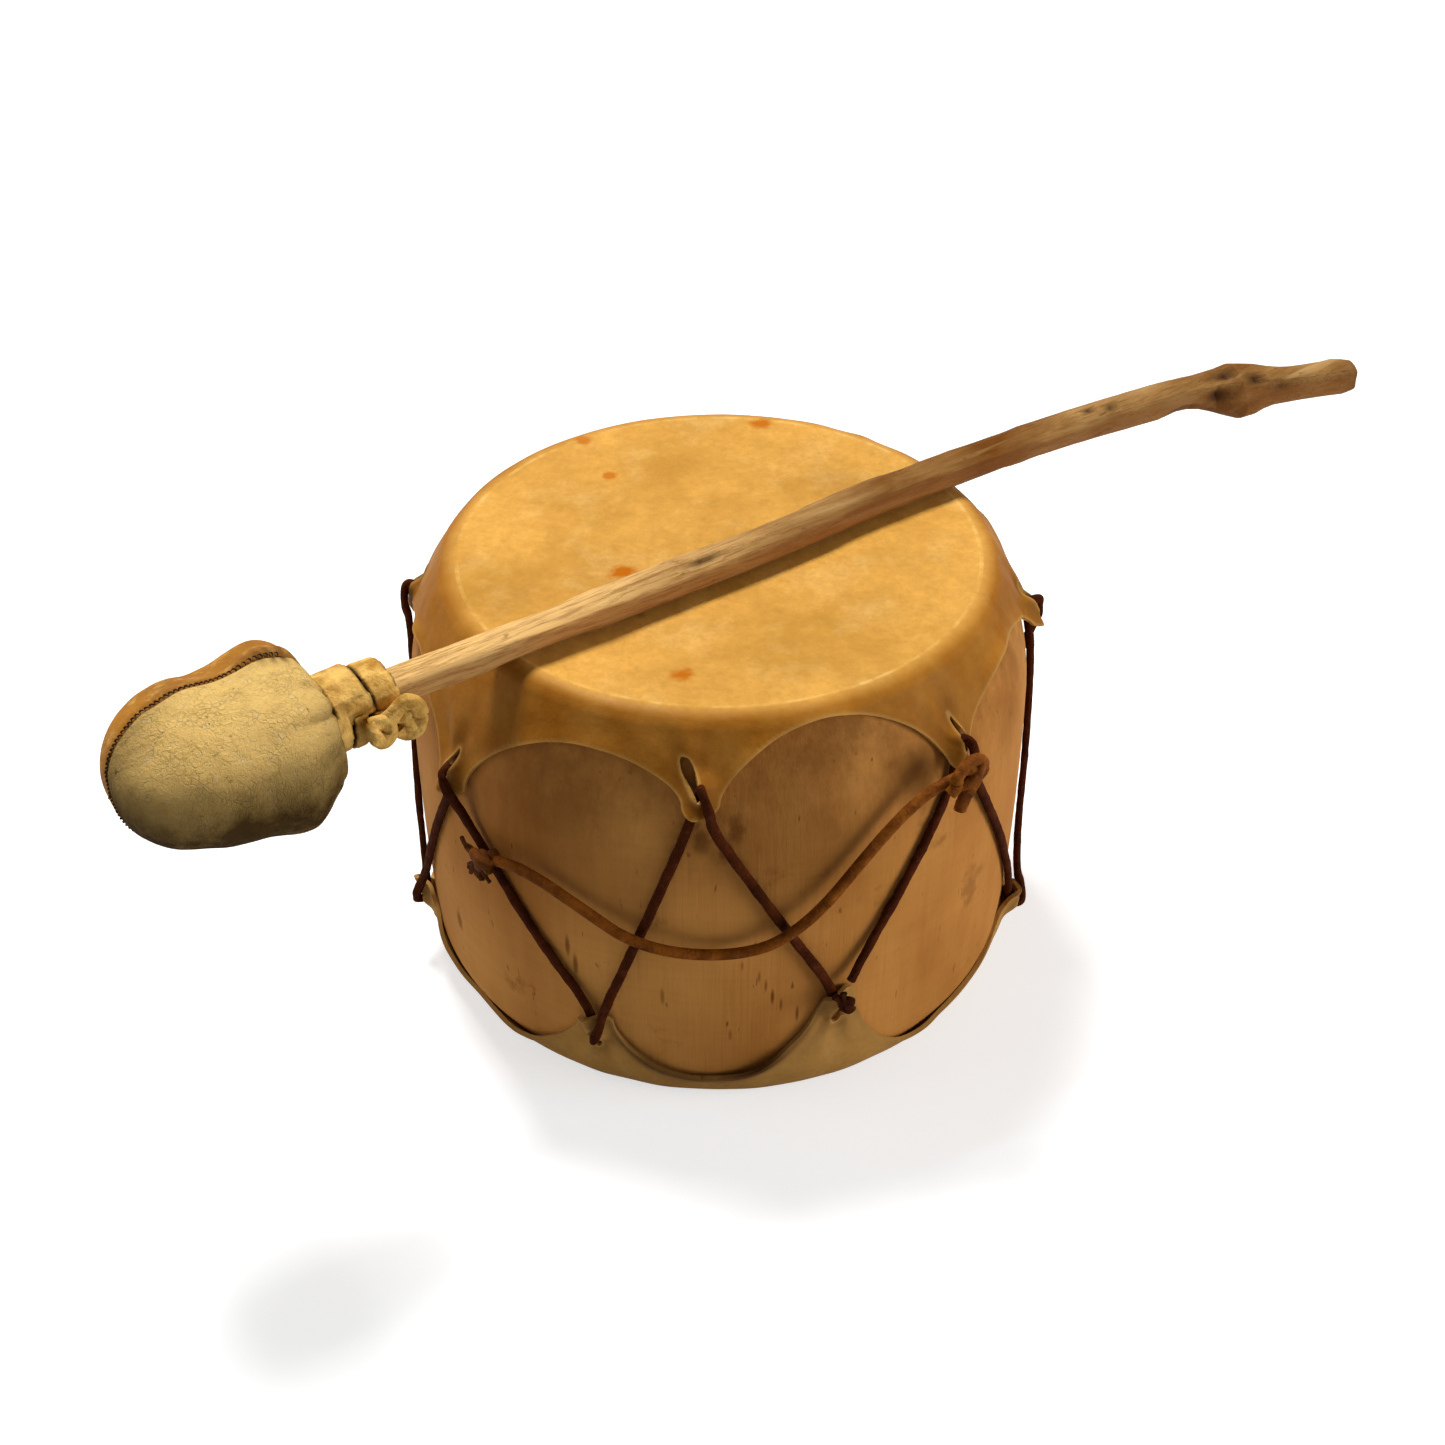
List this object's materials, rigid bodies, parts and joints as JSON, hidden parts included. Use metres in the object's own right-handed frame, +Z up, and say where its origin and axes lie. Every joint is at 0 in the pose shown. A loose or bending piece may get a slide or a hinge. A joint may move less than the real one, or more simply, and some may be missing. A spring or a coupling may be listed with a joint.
{
  "type": "rawhide hand drum",
  "caption": "Hollow log drum with laced rawhide heads at both ends, a carry cord, and a padded leather beater resting across the top head.",
  "frame": {"origin": "centre of the drum's flat underside, on the surface it stands on", "axes": "+Z up along the drum's axis, -Y the front that shows the carry cord, +X the right, the way that the beater's stick points"},
  "size_m": [0.3812, 0.2449, 0.1753],
  "materials": {
    "peeled_wood": "bare peeled wood, fine upright grain; the species is not known",
    "rawhide_top": "dried rawhide, smooth and slightly glossy, mottled amber",
    "rawhide_bottom": "dried rawhide, smooth and slightly glossy, mottled olive brown",
    "lace_leather": "dark brown leather lace",
    "carry_leather": "brown leather lace",
    "peeled_branch": "peeled and whittled branch",
    "stuffing": "packed fibre, hidden and guessed",
    "pale_suede": "pale worn suede",
    "tan_leather": "orange tan suede",
    "seam_thread": "dark thread",
    "soft_leather_strap": "soft warm-yellow leather strap"
  },
  "bodies": {
    "drum": {"log_shell": "peeled_wood", "top_head": "rawhide_top", "bottom_head": "rawhide_bottom", "lacing": "lace_leather", "lacing_knot": "lace_leather", "carry_cord": "carry_leather", "carry_knot_left": "carry_leather", "carry_knot_right": "carry_leather"},
    "beater": {"beater_stick": "peeled_branch", "pad_stuffing": "stuffing", "pad_front_panel": "pale_suede", "pad_back_panel": "tan_leather", "pad_seam_stitches": "seam_thread", "neck_binding": "soft_leather_strap", "binding_knot": "soft_leather_strap"}
  },
  "joints": [
    {"name": "beater_lift", "type": "slide", "parent": "drum", "child": "beater", "axis": [0, 0, 1], "range_m": [0, 0.2]}
  ]
}
